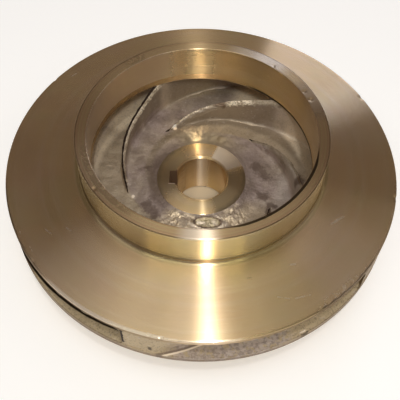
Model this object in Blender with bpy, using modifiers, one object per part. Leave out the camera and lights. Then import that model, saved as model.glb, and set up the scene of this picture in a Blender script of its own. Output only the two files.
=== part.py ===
"""Closed pump impeller: a bronze centrifugal impeller with five backward-swept vanes.

Metres, +Z up along the shaft axis, towards the suction eye.
The origin is the centre of the hub's back end, on which the impeller stands.
"""
import math

import bmesh
import bpy
from mathutils import Matrix, Vector

# Driving dimensions
RIM_RADIUS = 0.130
RIM_BOTTOM = 0.026
RIM_TOP = 0.056
SHELL_GAP = 0.0003

HUB_RADIUS = 0.0305
HUB_SEAT_RADIUS = 0.034
HUB_FACE = 0.036
BORE_RADIUS = 0.0178
BORE_CHAMFER = 0.0012
KEYWAY_WIDTH = 0.0106
KEYWAY_DEPTH = 0.0222

FLOOR_AT_HUB = 0.0345
FLOOR_AT_RIM = 0.0315
FLOOR_FLAT_RADIUS = 0.060

ROOF_AT_RIM = 0.052
ROOF_AT_EYE = 0.0545
ROOF_BEND_RADIUS = 0.086
FACE_SLOPE = math.radians(5.0)

NECK_INNER = 0.0737
NECK_OUTER = 0.0811
NECK_TOP = 0.087
NECK_FOOT = 0.063
NECK_LIP = 0.058
NECK_FILLET = 0.0029

VANE_COUNT = 5
VANE_NOSE_THICKNESS = 0.0024
VANE_TIP_THICKNESS = 0.0070
VANE_INNER_RADIUS = 0.052
VANE_BEND_START = 0.064
VANE_BEND_END = 0.070
VANE_TIP_AZIMUTH = math.radians(254.0)
VANE_INNER_ANGLE = math.radians(14.9)
VANE_OUTER_ANGLE = math.radians(22.2)
LEADING_EDGE = [(0.052, 0.0335), (0.056, 0.040), (0.064, 0.0485), (0.072, 0.0555)]

STEPS = 128

BRONZE = (0.43, 0.30, 0.15)
CAST_BRONZE = (0.20, 0.145, 0.105)


def clear_scene():
    for obj in list(bpy.data.objects):
        bpy.data.objects.remove(obj, do_unlink=True)


def new_collection(name):
    group = bpy.data.collections.new(name)
    bpy.context.scene.collection.children.link(group)
    return group


def metal(name, colour, roughness):
    material = bpy.data.materials.new(name)
    material.use_nodes = True
    shader = material.node_tree.nodes["Principled BSDF"]
    shader.inputs["Base Color"].default_value = (*colour, 1.0)
    shader.inputs["Metallic"].default_value = 1.0
    shader.inputs["Roughness"].default_value = roughness
    return material


def arc(centre, radius, start, end, count):
    """Points of an arc in the (radius, height) plane, angles in degrees."""
    turns = [math.radians(start + (end - start) * i / count) for i in range(count + 1)]
    return [(centre[0] + radius * math.cos(a), centre[1] + radius * math.sin(a)) for a in turns]


def turned(name, outline, group, steps=STEPS):
    """Spins a closed (radius, height) outline about the Z axis."""
    mesh = bpy.data.meshes.new(name)
    shape = bmesh.new()
    corners = [shape.verts.new((radius, 0.0, height)) for radius, height in outline]
    for i, corner in enumerate(corners):
        shape.edges.new((corner, corners[(i + 1) % len(corners)]))
    shape.to_mesh(mesh)
    shape.free()
    obj = bpy.data.objects.new(name, mesh)
    group.objects.link(obj)
    screw = obj.modifiers.new("Turn", "SCREW")
    screw.axis = "Z"
    screw.angle = 2.0 * math.pi
    screw.steps = steps
    screw.render_steps = steps
    screw.use_merge_vertices = True
    screw.merge_threshold = 0.00001
    return obj


def finish(obj, material):
    obj.data.materials.append(material)
    for face in obj.data.polygons:
        face.use_smooth = True
    return obj


def as_cutter(obj):
    obj.hide_render = True
    obj.display_type = "WIRE"
    return obj


def face_height(radius):
    """Height of the front shroud's conical outer face."""
    return RIM_TOP + (RIM_RADIUS - radius) * math.tan(FACE_SLOPE)


def floor_outline():
    """The rear shroud's passage side, from the hub out to the rim."""
    inner = HUB_SEAT_RADIUS + SHELL_GAP
    drop = FLOOR_AT_HUB - FLOOR_AT_RIM
    points = []
    for i in range(7):
        share = i / 6
        points.append((inner + (FLOOR_FLAT_RADIUS - inner) * share,
                       FLOOR_AT_RIM + drop * (1.0 - share) ** 2))
    return points + [(RIM_RADIUS, FLOOR_AT_RIM)]


def roof_outline():
    """The front shroud's passage side, from the eye's lip out to the rim."""
    lip = NECK_LIP - ROOF_AT_EYE
    points = []
    for i in range(7):
        turn = math.pi / 2 * i / 6
        points.append((ROOF_BEND_RADIUS - (ROOF_BEND_RADIUS - NECK_INNER) * math.cos(turn),
                       NECK_LIP - lip * math.sin(turn)))
    return points + [(RIM_RADIUS, ROOF_AT_RIM)]


def build_hub(group, cutters, material):
    chamfer = BORE_CHAMFER
    outline = [
        (HUB_RADIUS, HUB_FACE),
        (HUB_RADIUS + 0.0020, HUB_FACE - 0.0004),
        (HUB_SEAT_RADIUS, FLOOR_AT_HUB),
        (HUB_SEAT_RADIUS, RIM_BOTTOM),
    ]
    outline += arc((HUB_SEAT_RADIUS, RIM_BOTTOM - 0.0035), 0.0035, 90, 180, 4)[1:]
    outline += [
        (HUB_RADIUS, 0.0012),
        (HUB_RADIUS - 0.0012, 0.0),
        (BORE_RADIUS + chamfer, 0.0),
        (BORE_RADIUS, chamfer),
        (BORE_RADIUS, HUB_FACE - chamfer),
        (BORE_RADIUS + chamfer, HUB_FACE),
    ]
    hub = turned("hub", outline, group, steps=96)
    key = bpy.data.meshes.new("keyway_cutter")
    shape = bmesh.new()
    bmesh.ops.create_cube(shape, size=1.0)
    bmesh.ops.scale(shape, vec=(KEYWAY_DEPTH, KEYWAY_WIDTH, HUB_FACE * 1.5), verts=shape.verts)
    shape.to_mesh(key)
    shape.free()
    cutter = as_cutter(bpy.data.objects.new("keyway_cutter", key))
    cutter.location = (-KEYWAY_DEPTH / 2, 0.0, HUB_FACE / 2)
    cutters.objects.link(cutter)
    cut = hub.modifiers.new("Keyway", "BOOLEAN")
    cut.operation = "DIFFERENCE"
    cut.solver = "EXACT"
    cut.object = cutter
    return finish(hub, material)


def build_rear_shroud(group, material):
    inner = HUB_SEAT_RADIUS + SHELL_GAP
    outline = floor_outline()
    outline += [(RIM_RADIUS, RIM_BOTTOM + 0.0008), (RIM_RADIUS - 0.0008, RIM_BOTTOM), (inner, RIM_BOTTOM)]
    return finish(turned("rear_shroud", outline, group), material)


def build_front_shroud(group, material):
    edge = 0.0006
    fillet_radius = NECK_OUTER + NECK_FILLET
    fillet_height = face_height(fillet_radius) + NECK_FILLET
    outline = [(NECK_INNER, NECK_FOOT - SHELL_GAP), (NECK_OUTER, NECK_FOOT - SHELL_GAP)]
    outline += arc((fillet_radius, fillet_height), NECK_FILLET, 180, 265, 6)
    outline += [(RIM_RADIUS - edge, face_height(RIM_RADIUS - edge)), (RIM_RADIUS, RIM_TOP - edge)]
    outline += list(reversed(roof_outline()))
    return finish(turned("front_shroud", outline, group), material)


def build_neck(group, material):
    edge = 0.0007
    outline = [
        (NECK_INNER + edge, NECK_TOP),
        (NECK_OUTER - edge, NECK_TOP),
        (NECK_OUTER, NECK_TOP - edge),
        (NECK_OUTER, NECK_FOOT),
        (NECK_INNER, NECK_FOOT),
        (NECK_INNER, NECK_TOP - edge),
    ]
    return finish(turned("suction_neck", outline, group), material)


def vane_angle(radius):
    """Angle between the vane and the circle through it."""
    share = (radius - VANE_BEND_START) / (VANE_BEND_END - VANE_BEND_START)
    share = min(1.0, max(0.0, share))
    return VANE_INNER_ANGLE + (VANE_OUTER_ANGLE - VANE_INNER_ANGLE) * share


def vane_thickness(radius):
    share = (radius - VANE_INNER_RADIUS) / (RIM_RADIUS - VANE_INNER_RADIUS)
    return VANE_NOSE_THICKNESS + (VANE_TIP_THICKNESS - VANE_NOSE_THICKNESS) * max(0.0, share)


def vane_line(count=44):
    """Centre line from past the rim inwards, as (radius, azimuth)."""
    start = RIM_RADIUS + 0.006
    radius = start
    azimuth = VANE_TIP_AZIMUTH - (start - RIM_RADIUS) / (RIM_RADIUS * math.tan(VANE_OUTER_ANGLE))
    step = (start - VANE_INNER_RADIUS) / count
    line = [(radius, azimuth)]
    for _ in range(count):
        middle = radius - step / 2
        azimuth += step / (middle * math.tan(vane_angle(middle)))
        radius -= step
        line.append((radius, azimuth))
    return line


def vane_outline():
    """Closed plan outline: outer face inwards, round the nose, inner face back out."""
    line = [Vector((r * math.cos(a), r * math.sin(a))) for r, a in vane_line()]
    outer = []
    inner = []
    for i, point in enumerate(line):
        along = (line[min(i + 1, len(line) - 1)] - line[max(i - 1, 0)]).normalized()
        across = Vector((-along.y, along.x))
        half = vane_thickness(point.length) / 2
        outer.append(point - across * half)
        inner.append(point + across * half)
    tip = line[-1]
    along = (line[-1] - line[-2]).normalized()
    across = Vector((-along.y, along.x))
    nose = []
    for i in range(1, 4):
        turn = math.pi * i / 4
        nose.append(tip + (along * math.sin(turn) - across * math.cos(turn)) * VANE_NOSE_THICKNESS / 2)
    return outer + nose + list(reversed(inner))


def passage_section():
    """The vane's side view: floor to roof, cut back from the lip down to the hub."""
    floor = [(r, z + SHELL_GAP) for r, z in floor_outline() if r > VANE_INNER_RADIUS]
    roof = [(r, z - SHELL_GAP) for r, z in roof_outline() if r > NECK_INNER + 0.0008]
    start = (VANE_INNER_RADIUS - VANE_NOSE_THICKNESS, floor[0][1] + SHELL_GAP)
    return LEADING_EDGE + roof + list(reversed(floor)) + [start]


def vane_mesh(name):
    curve = bpy.data.curves.new(name, "CURVE")
    curve.dimensions = "2D"
    curve.fill_mode = "BOTH"
    curve.extrude = (RIM_TOP - RIM_BOTTOM) / 2
    outline = vane_outline()
    spline = curve.splines.new("POLY")
    spline.points.add(len(outline) - 1)
    for slot, point in zip(spline.points, outline):
        slot.co = (point.x, point.y, 0.0, 1.0)
    spline.use_cyclic_u = True
    holder = bpy.data.objects.new(name, curve)
    mesh = bpy.data.meshes.new_from_object(holder)
    bpy.data.objects.remove(holder)
    shape = bmesh.new()
    shape.from_mesh(mesh)
    bmesh.ops.remove_doubles(shape, verts=shape.verts, dist=0.00001)
    bmesh.ops.transform(shape, matrix=Matrix.Translation((0, 0, (RIM_TOP + RIM_BOTTOM) / 2)), verts=shape.verts)
    bmesh.ops.recalc_face_normals(shape, faces=shape.faces)
    shape.to_mesh(mesh)
    shape.free()
    return mesh


def build_vanes(group, cutters, material):
    passage = as_cutter(turned("passage_cutter", passage_section(), cutters))
    vanes = []
    for i in range(VANE_COUNT):
        name = "vane_%d" % (i + 1)
        vane = bpy.data.objects.new(name, vane_mesh(name))
        vane.rotation_euler.z = 2.0 * math.pi * i / VANE_COUNT
        group.objects.link(vane)
        trim = vane.modifiers.new("Trim", "BOOLEAN")
        trim.operation = "INTERSECT"
        trim.solver = "EXACT"
        trim.object = passage
        vanes.append(finish(vane, material))
    return vanes


def build():
    clear_scene()
    group = new_collection("pump_impeller")
    cutters = new_collection("cutters")
    turned_bronze = metal("turned bronze", BRONZE, 0.30)
    cast_bronze = metal("cast bronze", CAST_BRONZE, 0.62)
    root = bpy.data.objects.new("impeller_axis", None)
    group.objects.link(root)
    pieces = [
        build_hub(group, cutters, turned_bronze),
        build_rear_shroud(group, cast_bronze),
        build_front_shroud(group, turned_bronze),
        build_neck(group, turned_bronze),
    ]
    pieces += build_vanes(group, cutters, cast_bronze)
    for piece in pieces:
        piece.parent = root


build()
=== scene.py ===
# %% [markdown]
# # A closed pump impeller in cast bronze
#
# A pump impeller is cast in one piece and then turned on a lathe wherever it has to run true:
# the broad face, the neck round the eye, the hub and the bore. The passages between its vanes
# keep the dull, grainy skin of the sand mould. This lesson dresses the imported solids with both
# finishes. It starts from the frame, so every size below is read from the solids or is a small
# edge or wall that goes with them. All lengths are in metres.

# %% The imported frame
import math
from functools import partial, partialmethod

import bmesh
import bpy
from mathutils import Matrix, Vector, noise


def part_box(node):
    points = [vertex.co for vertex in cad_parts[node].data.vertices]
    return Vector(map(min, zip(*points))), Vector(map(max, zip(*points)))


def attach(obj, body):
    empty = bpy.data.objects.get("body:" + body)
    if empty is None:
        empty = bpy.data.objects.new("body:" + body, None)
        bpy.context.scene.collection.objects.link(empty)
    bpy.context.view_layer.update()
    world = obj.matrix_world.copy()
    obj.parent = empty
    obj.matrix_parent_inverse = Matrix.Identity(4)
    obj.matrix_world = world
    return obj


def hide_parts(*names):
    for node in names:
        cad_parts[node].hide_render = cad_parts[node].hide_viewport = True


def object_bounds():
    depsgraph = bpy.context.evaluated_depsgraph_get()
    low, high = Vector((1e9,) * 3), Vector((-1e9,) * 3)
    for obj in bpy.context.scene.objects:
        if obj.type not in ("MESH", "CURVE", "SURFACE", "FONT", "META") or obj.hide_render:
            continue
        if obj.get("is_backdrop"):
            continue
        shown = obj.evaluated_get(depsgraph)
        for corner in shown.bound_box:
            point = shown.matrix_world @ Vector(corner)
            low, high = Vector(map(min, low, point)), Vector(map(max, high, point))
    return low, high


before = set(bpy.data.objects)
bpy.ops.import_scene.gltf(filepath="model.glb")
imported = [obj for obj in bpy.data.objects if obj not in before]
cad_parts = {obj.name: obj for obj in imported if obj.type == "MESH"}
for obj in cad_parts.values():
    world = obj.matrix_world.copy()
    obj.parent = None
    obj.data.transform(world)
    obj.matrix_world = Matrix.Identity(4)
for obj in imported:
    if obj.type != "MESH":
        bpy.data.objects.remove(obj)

cad_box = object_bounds()
MM = 0.001
DEGREE = math.radians(1)
print("solids:", ", ".join(sorted(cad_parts)))

# %% [markdown]
# The driving sizes come from the boxes of the solids. A turned piece is as wide as its box, and
# its top and bottom give the heights of its faces.

# %% Sizes read from the solids
shroud_low, shroud_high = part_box("front_shroud")
neck_low, neck_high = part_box("suction_neck")
hub_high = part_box("hub")[1]
RIM_RADIUS = shroud_high.x
RIM_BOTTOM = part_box("rear_shroud")[0].z
ROOF_AT_RIM = shroud_low.z
NECK_FOOT = neck_low.z
NECK_TOP = neck_high.z
NECK_OUTER = neck_high.x
HUB_FACE = hub_high.z
HUB_SEAT_RADIUS = hub_high.x
print("rim radius %.1f mm, neck radius %.1f mm" % (RIM_RADIUS / MM, NECK_OUTER / MM))

# %% [markdown]
# The rest are wall thicknesses, edges and bends, which the boxes can't give.

# %% Sizes of walls, edges and bends
RIM_TOP = ROOF_AT_RIM + 4 * MM
FACE_SLOPE = 5.0 * DEGREE
ROOF_AT_EYE = 54.5 * MM
ROOF_BEND_RADIUS = 86 * MM
FLOOR_AT_RIM = 31.5 * MM
FLOOR_AT_HUB = 34.5 * MM
FLOOR_FLAT_RADIUS = 60 * MM
NECK_INNER = 73.7 * MM
NECK_LIP = 58 * MM
NECK_FILLET = 2.9 * MM
HUB_RADIUS = 30.5 * MM
BORE_RADIUS = 17.8 * MM
KEYWAY_HALF = 5.3 * MM
KEYWAY_REACH = 22.2 * MM
VANE_COUNT = 5
VANE_INNER_RADIUS = 52 * MM
VANE_NOSE_THICKNESS = 2.4 * MM
VANE_TIP_THICKNESS = 7.0 * MM
VANE_TIP_AZIMUTH = 254.0 * DEGREE
VANE_INNER_ANGLE = 14.9 * DEGREE
VANE_OUTER_ANGLE = 22.2 * DEGREE
VANE_BEND = (64 * MM, 70 * MM)

# The free edge of a vane in the eye, as radius and height.
LEADING_EDGE = [(r * MM, z * MM) for r, z in [
    (52, 33.5), (56, 40), (64, 48.5), (72, 55.5), (75, 58.5)]]


def face_height(radius):
    """Height of the broad turned face, a flat cone."""
    return RIM_TOP + (RIM_RADIUS - radius) * math.tan(FACE_SLOPE)


def floor_height(radius):
    """Height of the rear shroud on its passage side."""
    share = min(1.0, max(0.0, (radius - HUB_SEAT_RADIUS) / (FLOOR_FLAT_RADIUS - HUB_SEAT_RADIUS)))
    return FLOOR_AT_RIM + (FLOOR_AT_HUB - FLOOR_AT_RIM) * (1 - share) ** 2


def roof_height(radius):
    """Height of the front shroud on its passage side, bending up into the eye."""
    if radius < ROOF_BEND_RADIUS:
        reach = (ROOF_BEND_RADIUS - radius) / (ROOF_BEND_RADIUS - NECK_INNER)
        return NECK_LIP - (NECK_LIP - ROOF_AT_EYE) * math.sqrt(max(0.0, 1 - min(1.0, reach) ** 2))
    share = (radius - ROOF_BEND_RADIUS) / (RIM_RADIUS - ROOF_BEND_RADIUS)
    return ROOF_AT_EYE + (ROOF_AT_RIM - ROOF_AT_EYE) * share


# %% [markdown]
# ## Shader sums written as Python
#
# A finish is mostly arithmetic on the position of a point: its distance from the shaft axis, its
# height, a little noise. The class below wraps one shader socket, so that a sum such as
# `1 - mask` adds the Math nodes that work it out.

# %% A socket that takes Python's arithmetic
class Wire:
    def __init__(self, tree, socket):
        self.tree = tree
        self.socket = socket

    def sum(self, operation, *others):
        values = dict(enumerate((self, *others)))
        return add_node(self.tree, "ShaderNodeMath", values, operation=operation)

    __add__ = __radd__ = partialmethod(sum, "ADD")
    __mul__ = __rmul__ = partialmethod(sum, "MULTIPLY")
    __sub__ = partialmethod(sum, "SUBTRACT")
    __truediv__ = partialmethod(sum, "DIVIDE")
    __pow__ = partialmethod(sum, "POWER")
    log = partialmethod(sum, "LOGARITHM", math.e)
    smaller = partialmethod(sum, "MINIMUM")
    larger = partialmethod(sum, "MAXIMUM")

    def __rsub__(self, other):
        return (self * -1.0) + other

    def __rtruediv__(self, other):
        return (self ** -1.0) * other

    def above(self, edge, blur):
        """0 below the edge, 1 above it, with a soft step as wide as the blur."""
        step = {"Value": self, "From Min": edge - blur / 2, "From Max": edge + blur / 2}
        return add_node(self.tree, "ShaderNodeMapRange", step, interpolation_type="SMOOTHSTEP")

    def below(self, edge, blur):
        return 1 - self.above(edge, blur)

    def between(self, low, high, blur):
        return self.above(low, blur) * self.below(high, blur)


def connect(tree, value, slot):
    """Feeds a slot from a wire, or sets it to a plain value."""
    if isinstance(value, Wire):
        tree.links.new(value.socket, slot)
    elif slot.type == "RGBA":
        slot.default_value = (*value, 1.0)
    else:
        slot.default_value = value


def add_node(tree, kind, values, output=0, **settings):
    """Adds a node with its settings. The values of its sockets go by name or by number."""
    node = tree.nodes.new(kind)
    for name, setting in settings.items():
        setattr(node, name, setting)
    for slot, value in values.items():
        connect(tree, value, node.inputs[slot])
    return Wire(tree, node.outputs[output])


# %% [markdown]
# `Finish` holds one material and the place of a point on it. `mix` blends two colours, and
# `blend` two plain numbers.

# %% One material and its nodes
class Finish:
    def __init__(self, name, **constants):
        self.material = bpy.data.materials.new(name)
        self.material.use_nodes = True
        self.tree = self.material.node_tree
        self.node = partial(add_node, self.tree)
        self.shader = self.tree.nodes["Principled BSDF"]
        self.set(**constants)
        self.place = self.node("ShaderNodeTexCoord", {}, "Object")
        self.x, self.y, self.z = (
            self.node("ShaderNodeSeparateXYZ", {0: self.place}, part) for part in "XYZ")
        self.radius = (self.x * self.x + self.y * self.y) ** 0.5
        self.azimuth = self.y.sum("ARCTAN2", self.x)

    def noise(self, size, detail=3.0, roughness=0.55, seed=0.0):
        """Noise round 0.5 whose grains are about as wide as the size given."""
        shift = {"Vector": self.place, "Location": (seed, seed * 0.7, -seed)}
        return self.node("ShaderNodeTexNoise", {
            "Vector": self.node("ShaderNodeMapping", shift), "Scale": 1.0 / size,
            "Detail": detail, "Roughness": roughness})

    def rings(self, pitch, seed=0.0):
        """Noise that varies with the distance from the axis only, like turning marks."""
        where = self.radius / pitch + (self.z / pitch + seed)
        return self.node("ShaderNodeTexNoise", {"W": where, "Scale": 1.0, "Detail": 2.0},
                         noise_dimensions="1D")

    def streaks(self, length, width, seed=0.0):
        """Noise drawn out round the axis, like rub marks."""
        where = self.node("ShaderNodeCombineXYZ", {
            0: self.azimuth * 0.1 / length, 1: (self.radius + self.z) / width, 2: seed})
        return self.node("ShaderNodeTexNoise", {"Vector": where, "Scale": 1.0, "Detail": 3.0})

    def mix(self, share, first, second):
        """Blends two colours, which are inputs 6 and 7 of a Mix node and its output 2."""
        return self.node("ShaderNodeMix", {0: share, 6: first, 7: second}, 2, data_type="RGBA")

    def layered(self, colour, layers):
        """Lays further colours, given as (mask, colour), over the first."""
        for mask, stain in layers:
            colour = self.mix(mask, colour, stain)
        return colour

    def blend(self, share, first, second):
        """Goes from one number to another as the share goes from 0 to 1."""
        return share * (second - first) + first

    def sector(self, first, last, blur):
        """1 between two azimuths in degrees, counted from 0 to 360 or a little beyond."""
        off = self.azimuth - (first + last) / 2 * DEGREE
        off = off.sum("WRAP", math.pi, -math.pi).sum("ABSOLUTE")
        return off.below((last - first) / 2 * DEGREE, blur * DEGREE)

    def spot(self, x, y, size):
        """1 round a place seen from above, in millimetres."""
        away = ((self.x / MM - x) ** 2.0 + (self.y / MM - y) ** 2.0) ** 0.5
        return away.below(size, size * 0.8)

    def stroke(self, start, end, width, ragged=None):
        """1 on a straight mark, with an uneven border given noise."""
        way = Vector(end) - Vector(start)
        across_x, across_y = self.x / MM - start[0], self.y / MM - start[1]
        along = (across_x * way.x + across_y * way.y) / way.length_squared
        along = along.larger(0.0).smaller(1.0)
        off = ((across_x - along * way.x) ** 2.0 + (across_y - along * way.y) ** 2.0) ** 0.5
        if ragged:
            off = off + (ragged - 0.5) * (width * 1.5)
        return off.below(width / 2, width * (0.6 if ragged else 1.0))

    def strokes(self, marks, ragged=None):
        return self.any([self.stroke(start, end, width, ragged) for start, end, width in marks])

    def any(self, masks):
        """The largest of several masks."""
        whole = masks[0]
        for mask in masks[1:]:
            whole = whole.larger(mask)
        return whole

    def set(self, **inputs):
        for name, value in inputs.items():
            connect(self.tree, value, self.shader.inputs[name.replace("_", " ")])

    def bump(self, height, depth):
        return self.node("ShaderNodeBump", {"Height": height, "Distance": depth})

    def over(self, mask, **inputs):
        """Lays a second shader over the first where the mask is 1."""
        first = Wire(self.tree, self.shader.outputs[0])
        self.shader = self.tree.nodes.new("ShaderNodeBsdfPrincipled")
        self.set(**inputs)
        second = Wire(self.tree, self.shader.outputs[0])
        both = self.node("ShaderNodeMixShader", {0: mask, 1: first, 2: second})
        connect(self.tree, both, self.tree.nodes["Material Output"].inputs["Surface"])


# %% [markdown]
# ## Turned bronze
#
# A lathe leaves fine grooves that run round the axis. They spread light along the radius and
# hardly round the circle, so a lamp becomes one bright radial streak. The shader's anisotropy
# does this. Its tangent runs round the middle of a piece anyway, and a quarter turn lays the
# spread across it.

# %% Colours of turned bronze
BRONZE = (0.76, 0.55, 0.29)
BRONZE_BROWN = (0.58, 0.38, 0.21)
BRONZE_OLIVE = (0.66, 0.55, 0.27)
BRONZE_PALE = (0.84, 0.70, 0.52)
BRONZE_WHITE = (1.0, 0.86, 0.68)
BRONZE_PINK = (0.72, 0.47, 0.33)
BRONZE_KHAKI = (0.60, 0.51, 0.34)
BRONZE_YELLOW = (0.70, 0.57, 0.27)
STREAK_BRONZE = (0.73, 0.56, 0.37)
NECK_BRONZE = (0.78, 0.67, 0.40)
NECK_GLEAM = (1.0, 0.93, 0.66)
NECK_TOP_BRONZE = (0.70, 0.50, 0.27)
HUB_BORDER_SHADE = (0.30, 0.24, 0.18)
HUB_SHADE = (0.36, 0.28, 0.16)
BORE_BRONZE = (0.72, 0.54, 0.32)
BORE_SHADE = (0.46, 0.38, 0.24)
FILLET_OLIVE = (0.50, 0.40, 0.17)
RIM_BROWN = (0.42, 0.30, 0.18)
# Tarnish; the same colour also serves as painted shade on the rim.
TARNISH_AND_SHADE = (0.16, 0.10, 0.06)
BLACK = (0.03, 0.018, 0.012)
QUARTER_TURN = 0.25

# Short marks on the broad face in millimetres: from one end to the other, and how wide.
BRIGHT_RUBS = [
    ((82.5, -50), (86, -47.5), 1.3), ((86, -47), (90.5, -44.5), 1.0), ((-96, -59), (-92, -62), 0.7),
    ((55, -80), (58, -79.5), 0.8), ((46.5, -101), (53.5, -101.8), 0.5),
    ((57, -101.5), (66, -98.8), 0.6), ((-97, 74), (-94, 77), 0.7), ((-83, -58), (-80, -60), 0.7),
    ((-28, -125), (-25, -126.5), 0.6), ((-21, -127), (-19, -127), 0.6),
    ((-104, -71), (-102, -74), 0.6), ((-112, -60), (-111, -62), 0.6)]
DARK_RUBS = [((4, -128), (8, -128), 0.6), ((29, -90), (31, -89.5), 0.6)]


# %% Turned bronze
def turned_bronze(name, colour, marks, brown=0.35):
    """A lathe finish. `marks` adds places as (mask, colour, roughness)."""
    finish = Finish(name, Metallic=1.0, Anisotropic=1.0, Anisotropic_Rotation=QUARTER_TURN)
    patches = finish.noise(0.045, detail=5.0)
    clouds = finish.noise(0.030, detail=4.0, seed=11.0)
    grooves = finish.rings(0.0016)
    bands = finish.rings(0.007, seed=7.0)
    rubs = finish.streaks(0.012, 0.0009, seed=3.0)
    tone = finish.layered(colour, [
        (patches.above(0.54, 0.24) * brown, BRONZE_BROWN),
        (clouds.above(0.55, 0.20) * 0.35, BRONZE_OLIVE),
        (bands.above(0.56, 0.20) * 0.16, BRONZE_PALE),
        (grooves.above(0.50, 0.50) * 0.16, BRONZE_BROWN),
        (rubs.above(0.64, 0.10) * 0.28, BRONZE_PALE)])
    gloss = 0.25 + (patches - 0.5) * 0.05 + (grooves - 0.5) * 0.03
    for mask, stain, dull in marks(finish):
        tone = finish.mix(mask, tone, stain)
        gloss = finish.blend(mask, gloss, dull)
    finish.set(Base_Color=tone, Roughness=gloss, Normal=finish.bump(grooves, 0.000005))
    return finish.material


def face_marks(finish):
    """Rubs and broad tints, the dull fillet at the neck's foot, and the worn rim. The tints in
    wedges are painted reflections, the rim's edge carries painted highlight and painted shade, and
    black bands are painted shadow under the rim's lip and low in the neck's inside.
    """
    radius, z, sector = finish.radius, finish.z, finish.sector
    ragged = finish.noise(0.003, detail=4.0, seed=8.0)
    pink = finish.noise(0.040, detail=3.0, seed=21.0)
    top = z.above(RIM_TOP - 1 * MM, 1 * MM)
    bright = finish.strokes(BRIGHT_RUBS) * (0.35 + ragged.above(0.48, 0.10) * 0.5)
    dark = finish.strokes(DARK_RUBS)
    fillet = radius.between(NECK_OUTER - 1 * MM, NECK_OUTER + 3.2 * MM, 0.9 * MM)
    corner = radius.below(NECK_OUTER + 0.7 * MM, 0.3 * MM) * sector(190, 252, 12)
    edge = (radius + (ragged - 0.5) * 2.4 * MM).above(RIM_RADIUS - 1 * MM, 0.4 * MM)
    edge = edge * z.above(ROOF_AT_RIM, 1 * MM)
    worn = radius.above(RIM_RADIUS - 1.7 * MM, 1 * MM) * top
    torn = radius.above(RIM_RADIUS - 4 * MM, 5 * MM) * ragged.above(0.57, 0.06) * top
    side = z.between(ROOF_AT_RIM - 1.5 * MM, RIM_TOP - 0.9 * MM, 0.5 * MM)
    side = side * radius.above(RIM_RADIUS - 1 * MM, 0.2 * MM)
    under = side * z.below(RIM_TOP - 2.3 * MM, 0.8 * MM)
    lip = z.between(NECK_LIP - 1 * MM, NECK_LIP + 1.6 * MM, 0.6 * MM)
    lip = lip * radius.below(NECK_INNER + 1 * MM, 0.5 * MM)
    return [
        (pink.above(0.52, 0.20) * top * 0.2, BRONZE_PINK, 0.27),
        (bright * top * 0.8, BRONZE_WHITE, 0.32),
        (dark * top * 0.6, TARNISH_AND_SHADE, 0.4),
        (fillet * top * 0.65, FILLET_OLIVE, 0.27),
        (corner * top * 0.65, TARNISH_AND_SHADE, 0.35),
        # The rim's edge and top at the front left: worn metal and painted highlight.
        (edge * sector(226, 281, 6) * 0.85, BRONZE_WHITE, 0.28),
        (worn * sector(227, 262, 6) * 0.7, BRONZE_WHITE, 0.34),
        (torn * sector(303, 322, 4) * 0.5, BRONZE_WHITE, 0.35),
        # Painted shade on the rim's edge at the right, darkest along a painted shadow line.
        (edge * (sector(284, 352, 8) * 0.35 + sector(302, 325, 4) * 0.5), TARNISH_AND_SHADE, 0.4),
        (side * 0.85, RIM_BROWN, 0.55),
        (side.larger(edge) * sector(190, 224, 8) * 0.65, TARNISH_AND_SHADE, 0.5),
        # Painted reflection: paler and yellower wedges by azimuth where lamps and window reflect,
        # and a bluer tone under the streak.
        (top * sector(216, 245, 14) * 0.3, BRONZE_PALE, 0.27),
        (top * sector(246, 263, 12) * 0.35, BRONZE_KHAKI, 0.27),
        (top * sector(262, 278, 8) * 0.5, STREAK_BRONZE, 0.19),
        (top * sector(281, 305, 14) * 0.35, BRONZE_YELLOW, 0.27),
        (top * sector(308, 332, 14) * 0.25, BRONZE_PALE, 0.27),
        (top * sector(8, 34, 14) * 0.25, BRONZE_PALE, 0.27),
        # Painted shadow: black on the lower part of the lip's side at the front left, under the
        # rim's lip.
        (under * sector(213, 250, 4) * 0.85, BLACK, 0.7),
        # Painted shadow: a black band low on the neck's inside, at the right and back.
        (lip * sector(-20, 62, 8) * 0.9, BLACK, 0.6)]


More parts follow.
